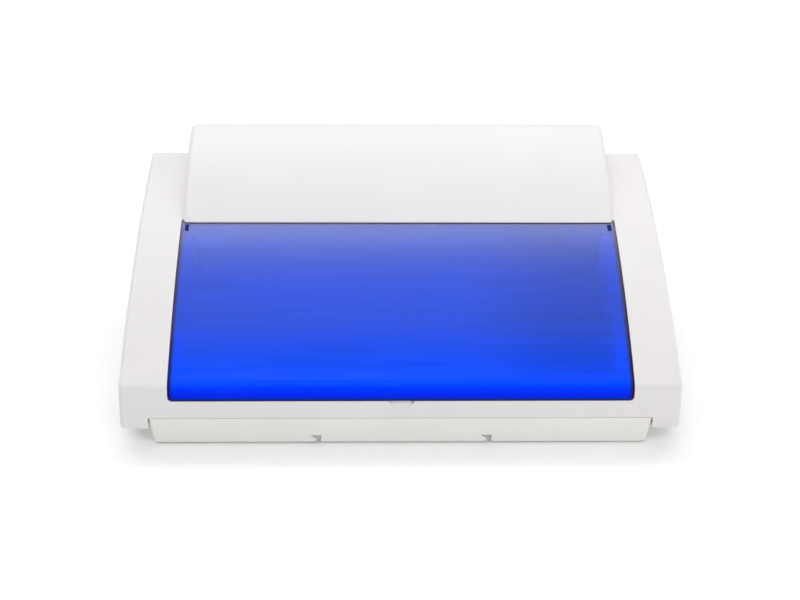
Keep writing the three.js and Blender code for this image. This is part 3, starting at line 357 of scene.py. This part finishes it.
quartz, tree, shader, place = finish("quartz")
streak = cloud(tree, stretched(tree, place, (0.1, 1, 1)), 220, 3)
tree.links.new(tinted(tree, between(tree, streak, 0, 1), (0.93, 0.95, 0.97), (0.97, 0.98, 0.99)),
               shader.inputs["Base Color"])
tree.links.new(between(tree, streak, 0.02, 0.08), shader.inputs["Roughness"])
shader.inputs["Transmission Weight"].default_value = 1
shader.inputs["IOR"].default_value = 1.46
dress("lamp_tube", quartz)

cap_aluminium = metal("cap_aluminium", (0.78, 0.78, 0.79), (0.85, 0.85, 0.86), 0.25, (1, 0.1, 0.1))
for side in ("left", "right"):
    dress(f"lamp_cap_{side}", cap_aluminium)

# Ballast: a potted choke in a stove-enamelled steel can, screwed down on the tray.

ballast_enamel = moulded("ballast_enamel", (0.83, 0.84, 0.85), (0.78, 0.79, 0.80), 0.3, 500, 0.00004)
dress("ballast", ballast_enamel)

# Starter, its holder and the terminal block: white plastic fittings on the tray.

fitting_plastic = moulded("fitting_plastic", (0.80, 0.80, 0.77), (0.74, 0.74, 0.71), 0.4, 1000)
for name in ("starter", "starter_holder", "terminal_block"):
    dress(name, fitting_plastic)

# Interlock: a microswitch under the right ledge, with the plunger that the lid presses.
# The switch is black nylon, the plunger white urea as the sockets are.

black_plastic = moulded("black_plastic", (0.022, 0.022, 0.024), (0.035, 0.035, 0.037), 0.42, 1200)
dress("interlock_switch", black_plastic)
dress("interlock_plunger", socket_plastic)

# Power switch and mains inlet on the rear wall: black nylon, with brass contact pins. The
# rocker is polished by fingers.

dress("switch_frame", black_plastic)
rocker_plastic = moulded("rocker_plastic", (0.018, 0.018, 0.02), (0.03, 0.03, 0.032), 0.22, 1500,
                         0.00001)
dress("power_rocker", rocker_plastic)
dress("power_inlet", black_plastic)
pin_brass = metal("pin_brass", (0.74, 0.56, 0.28), (0.80, 0.63, 0.36), 0.22, (1, 0.05, 1))
for side in ("left", "right"):
    dress(f"inlet_pin_{side}", pin_brass)

# Hood: the raised cover over the lamp gear, moulded in a slightly brighter white and
# screwed down from inside.

hood_plastic = moulded("hood_plastic", (0.87, 0.85, 0.855), (0.85, 0.83, 0.835), 0.45)
dress("hood", hood_plastic)

# Hinge pins: plain plated steel pins, pressed through the lid's lugs into the wings.

for side in ("left", "right"):
    dress(f"hinge_pin_{side}", screw_steel)

# Lid: one sheet of clear blue acrylic, 3 mm thick, bent to the wings' arch with a lip
# turned down in front. The dye is in the sheet, and its sawn rim is polished round.

lid_half, lid_front, lid_tail = 0.1777, -0.125, 0.0223
lip_low, lip_corner, sheet, bend_reach = 0.0402, 0.0026, 0.003, 0.007
arch_front, arch_rear, arch_bulge = Vector((-0.125, 0.0521)), Vector((0.125, 0.1385)), 0.015
bend_steps, arch_rows, columns = 10, 64, 32
corner_shares, lip_shares = (0, 0.04, 0.12, 0.25, 0.45, 0.7, 1), (0.3, 0.65)  # where the lip has rows

half_chord = (arch_rear - arch_front) / 2
arch_radius = (half_chord.length_squared + arch_bulge ** 2) / (2 * arch_bulge)
chord_down = Vector((half_chord.y, -half_chord.x)).normalized()
arch_y, arch_z = arch_front + half_chord + chord_down * (arch_radius - arch_bulge)


def arch_height(y, depth):
    """Height of the arch at y, the depth under its outer face."""
    return arch_z + math.sqrt((arch_radius - depth) ** 2 - (y - arch_y) ** 2)


def sheet_line(depth):
    """Side view of one face of the sheet: up the lip, round the bend and along the arch."""
    face = lid_front + depth
    ease = bend_reach - depth
    corner = Vector((face, arch_height(face, depth)))
    low = Vector((face, corner.y - ease))
    steepness = (arch_height(face + ease, depth) - corner.y) / ease
    far_y = face + ease / math.hypot(1, steepness)
    far = Vector((far_y, arch_height(far_y, depth)))
    corner_top = lip_low + lip_corner
    line = [(face, lip_low + lip_corner * share) for share in corner_shares]
    line += [(face, corner_top + (low.y - corner_top) * share) for share in lip_shares]
    for step in range(bend_steps + 1):
        share = step / bend_steps
        line.append(tuple(low.lerp(corner, share).lerp(corner.lerp(far, share), share)))
    for step in range(1, arch_rows + 1):
        y = far_y + (lid_tail - far_y) * step / arch_rows
        line.append((y, arch_height(y, depth)))
    return line


def sheet_half(z):
    """Half the sheet's width: full, but for the rounded lower corners of the lip."""
    drop = max(0.0, 1 - (z - lip_low) / lip_corner)
    return lid_half - lip_corner * drop * drop


def add_face(mesh, corners, turned):
    """A face with these corners, or with its other side out."""
    mesh.faces.new(reversed(corners) if turned else corners)


def add_sheet(mesh):
    """Both faces of the bent sheet, and the rim that joins them."""
    shares = [2 * column / columns - 1 for column in range(columns + 1)]
    outer, inner = ([[mesh.verts.new((sheet_half(z) * share, y, z)) for share in shares]
                     for y, z in sheet_line(depth)] for depth in (0, sheet))
    for row in range(len(outer) - 1):
        for column in range(columns):
            for face, turned in ((outer, False), (inner, True)):
                add_face(mesh, [face[row][column], face[row][column + 1],
                                face[row + 1][column + 1], face[row + 1][column]], turned)
        for side, turned in ((0, False), (columns, True)):
            add_face(mesh, [outer[row][side], outer[row + 1][side],
                            inner[row + 1][side], inner[row][side]], turned)
    for row, turned in ((0, False), (-1, True)):
        for column in range(columns):
            add_face(mesh, [outer[row][column], inner[row][column],
                            inner[row][column + 1], outer[row][column + 1]], turned)


# Lugs of the lid: small drilled discs of the same acrylic, cemented under the sheet at
# its rear corners, flat where they meet it. The hinge pins turn in their bores.

lug_radius, lug_bore, lug_inner, lug_outer = 0.0036, 0.0018, 0.1719, 0.1747
hinge_y, hinge_depth, cement, lug_steps = 0.013, 0.0047, 0.00003, 40
hinge_lean = math.asin((arch_y - hinge_y) / arch_radius)
hinge_z = arch_height(hinge_y, 0) - hinge_depth / math.cos(hinge_lean)


def lug_reach(along, up):
    """How far the lug's rim is from the pin in one direction: a disc cut off by the sheet."""
    out = lug_radius
    if up > 0:
        widest = lug_radius / max(abs(along), 0.001)
        for y in (0, along):
            top = arch_height(hinge_y + y * out, sheet) - hinge_z - cement
            out = min(widest, top / up)
    return out


def add_lug(mesh, side):
    """A drilled disc at the left (-1) or right (1) rear corner."""
    rings = []
    for x in (side * lug_inner, side * lug_outer):
        edge_ring, bore_ring = [], []
        for step in range(lug_steps):
            turning = 2 * math.pi * (step + 0.5) / lug_steps
            along, up = math.cos(turning), math.sin(turning)
            for ring, out in ((edge_ring, lug_reach(along, up)), (bore_ring, lug_bore)):
                ring.append(mesh.verts.new((x, hinge_y + along * out, hinge_z + up * out)))
        rings.append((edge_ring, bore_ring))
    (edge_a, bore_a), (edge_b, bore_b) = rings
    for step in range(lug_steps):
        after = (step + 1) % lug_steps
        for one, other in ((edge_a, edge_b), (edge_b, bore_b), (bore_b, bore_a), (bore_a, edge_a)):
            add_face(mesh, [one[step], one[after], other[after], other[step]], side < 0)


lid_mesh = bmesh.new()
add_sheet(lid_mesh)
for side in (-1, 1):
    add_lug(lid_mesh, side)
bmesh.ops.recalc_face_normals(lid_mesh, faces=lid_mesh.faces)
for face in lid_mesh.faces:
    face.smooth = True
lid_shape = bpy.data.meshes.new("blue_lid")
lid_mesh.to_mesh(lid_shape)
lid_mesh.free()
blue_lid = bpy.data.objects.new("blue_lid", lid_shape)
bpy.context.collection.objects.link(blue_lid)

# Dye of the lid: it is all through the sheet. Painted shade darkens the sheet towards the tail
# and on the right, painted glow brightens it to the front, and a painted dark line of shade
# runs round its sawn rim. Over the lugs the sheet is rougher and darkened with painted shade.

# Painted shade: levels that darken the sheet's blue from the front towards the tail.
painted_shade_by_depth = ((-0.11, 1.0), (-0.08, 0.93), (-0.056, 0.90), (-0.03, 0.97), (0.004, 0.92), (0.016, 0.76))
# Painted glow: the sheet's own light, stronger to the front, though it is no lamp.
painted_glow_levels = ((-0.115, 0.28), (-0.095, 0.20), (-0.07, 0.11), (0.0, 0.08))
# Painted shade: levels that darken the sheet's blue from side to side, most on the right.
painted_shade_by_side = ((-0.177, 0.8), (-0.173, 0.92), (-0.162, 1.0), (0.04, 1.0), (0.14, 0.79), (0.155, 0.79),
               (0.168, 0.91), (0.173, 0.91), (0.177, 0.75))
# Painted shade: the dark colour of the line round the sawn rim.
rim_width, rim_reach, rim_painted_shade = 0.0014, 0.0028, (0.06, 0.015, 0.17)
# Painted shade and light on the lip: its blue changes with height, lightest up at the bend.
lip_painted_shades = ((0.0, (0.004, 0.09, 0.85)), (0.35, (0.001, 0.03, 0.93)), (0.7, (0.001, 0.08, 0.95)),
              (1.0, (0.005, 0.17, 0.97)))
lip_shades_reach, lip_painted_glow, lid_clear = 0.0135, 0.12, 0.7
# Painted shade: the dark mark over each lug, where the lug keeps light from below off the sheet.
mark_length, mark_soft, lug_painted_shade = 0.0066, 0.0004, (0.0, 0.0, 0.2)
dye_blue, dye_worn, painted_glow_blue = (0.002, 0.175, 1.0), (0.001, 0.145, 0.93), (0, 0.07, 1, 1)
streak_low, streak_high, haze_low, haze_high = 0.82, 1.10, 0.93, 1.06  # how uneven the dye is


def by_place(tree, place, levels):
    """The levels along one direction, each given with its place."""
    first, last = levels[0][0], levels[-1][0]
    stops = [((at - first) / (last - first), (level,) * 3) for at, level in levels]
    return shaded(tree, slope(tree, place, first, last), stops, "EASE")


def sheet_dye(tree, spot, aside, haze, streaks):
    """Tone and painted glow of the sheet, painted shade at its rear rim, and rougher painted shade over
    the lugs.
    """
    # Painted shade along the depth and across the sheet, times random streaks and haze.
    level = by_place(tree, spot["Y"], painted_shade_by_depth)
    for share in (by_place(tree, spot["X"], painted_shade_by_side), between(tree, streaks, streak_low, streak_high),
                  between(tree, haze, haze_low, haze_high)):
        level = reckon(tree, "MULTIPLY", level, share)
    worn = reckon(tree, "MULTIPLY", reckon(tree, "ADD", haze, streaks), 0.5)
    tone = tinted(tree, between(tree, worn, 0, 1), dye_blue, dye_worn)
    tone = wire(tree, "ShaderNodeVectorMath", {"operation": "SCALE"}, _0=tone, Scale=level).outputs[0]
    # Painted shade over the lugs, where they block light from below; the sheet is also rougher there.
    mark_end = hinge_y + mark_length
    at_lug = slope(tree, aside, lug_inner - mark_soft, lug_inner)
    for value, start, end in ((aside, lug_outer + mark_soft, lug_outer),
                              (spot["Y"], hinge_y - mark_soft, hinge_y),
                              (spot["Y"], mark_end + mark_soft, mark_end)):
        at_lug = reckon(tree, "MULTIPLY", at_lug, slope(tree, value, start, end))
    tone = tinted(tree, at_lug, tone, lug_painted_shade)
    # Painted shade: a dark line along the sawn rim at the tail.
    rear_rim = slope(tree, spot["Y"], lid_tail - 2 * rim_width, lid_tail - rim_width)
    return tone, by_place(tree, spot["Y"], painted_glow_levels), rear_rim, at_lug


def lip_dye(tree, spot, aside, haze, streaks):
    """Tone and painted glow of the lip: even from side to side, painted shade and light by height, no
    rear rim and no lug.
    """
    height = slope(tree, spot["Z"], lip_low, lip_low + lip_shades_reach)
    return shaded(tree, height, lip_painted_shades, "EASE"), lip_painted_glow, 0.0, 0.0


def acrylic(name, ior, gloss, dye):
    """Clear dyed sheet that lets most of the light through, with streaks from wiping."""
    material, tree, shader, place = finish(name)
    haze = cloud(tree, stretched(tree, place, (0.3, 1, 1)), 22, 4, 0.6)
    streaks = cloud(tree, stretched(tree, place, (0.06, 1, 1)), 190, 5, 0.7)
    spot = whereabouts(material)
    aside = reckon(tree, "ABSOLUTE", spot["X"])
    # Painted shade: a dark line along the sawn rim at the sides and along the bottom of the lip.
    side_rim = slope(tree, aside, lid_half - rim_reach, lid_half - rim_width / 2)
    low_rim = slope(tree, spot["Z"], lip_low + rim_width, lip_low + rim_width / 2)
    tone, glow, rear_rim, dull = dye(tree, spot, aside, haze, streaks)
    rim = reckon(tree, "MAXIMUM", reckon(tree, "MAXIMUM", side_rim, low_rim), rear_rim)
    glow = reckon(tree, "MULTIPLY", glow, reckon(tree, "SUBTRACT", 1.0, rim))
    tree.links.new(tinted(tree, rim, tone, rim_painted_shade), shader.inputs["Base Color"])
    # Painted glow: emission that stands in for light through the sheet, taken off at the rim.
    tree.links.new(glow, shader.inputs["Emission Strength"])
    wiped = between(tree, streaks, gloss - 0.04, gloss + 0.04)
    tree.links.new(reckon(tree, "MAXIMUM", wiped, dull), shader.inputs["Roughness"])
    shader.inputs["Transmission Weight"].default_value = lid_clear
    shader.inputs["IOR"].default_value = ior
    shader.inputs["Emission Color"].default_value = painted_glow_blue
    return material


lid_acrylic = acrylic("lid_acrylic", ior=1.49, gloss=0.18, dye=sheet_dye)
lip_acrylic = acrylic("lip_acrylic", ior=1.1, gloss=0.2, dye=lip_dye)
# The sawn edge faces carry the dye's blue, darkened with painted shade.
sawn_edge_painted_shade = moulded("sawn_edge_painted_shade", (0.03, 0.012, 0.14), (0.04, 0.016, 0.19), 0.3, 2500, 0.00001)
# The lugs are cut from the blue acrylic, but coloured near black as painted shade.
lug_acrylic_painted_shade = moulded("lug_acrylic_painted_shade", (0.004, 0.006, 0.05), (0.006, 0.01, 0.07), 0.2, 900, 0.00001)
sheet_slot, lip_slot, rim_slot, lug_slot = range(4)
for material in (lid_acrylic, lip_acrylic, sawn_edge_painted_shade, lug_acrylic_painted_shade):
    lid_shape.materials.append(material)
hair, side_on = 0.0001, 0.9
polish_width, polish_steps, polish_above = 0.0004, 3, math.radians(50)
for face in lid_shape.polygons:
    middle = face.center
    if middle.y > 0 and middle.z < arch_height(middle.y, sheet + 2 * hair):
        face.material_index = lug_slot
    elif abs(face.normal.x) > side_on or middle.z < lip_low + hair or middle.y > lid_tail - hair:
        face.material_index = rim_slot
    else:
        face.material_index = lip_slot if middle.y < lid_front + bend_reach else sheet_slot
polished = blue_lid.modifiers.new("polished_edges", "BEVEL")
polished.width, polished.segments, polished.limit_method = polish_width, polish_steps, "ANGLE"
polished.angle_limit, polished.material = polish_above, rim_slot
blue_lid.modifiers.new("even", "WEIGHTED_NORMAL").keep_sharp = True
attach(blue_lid, "lid")
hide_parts("lid")
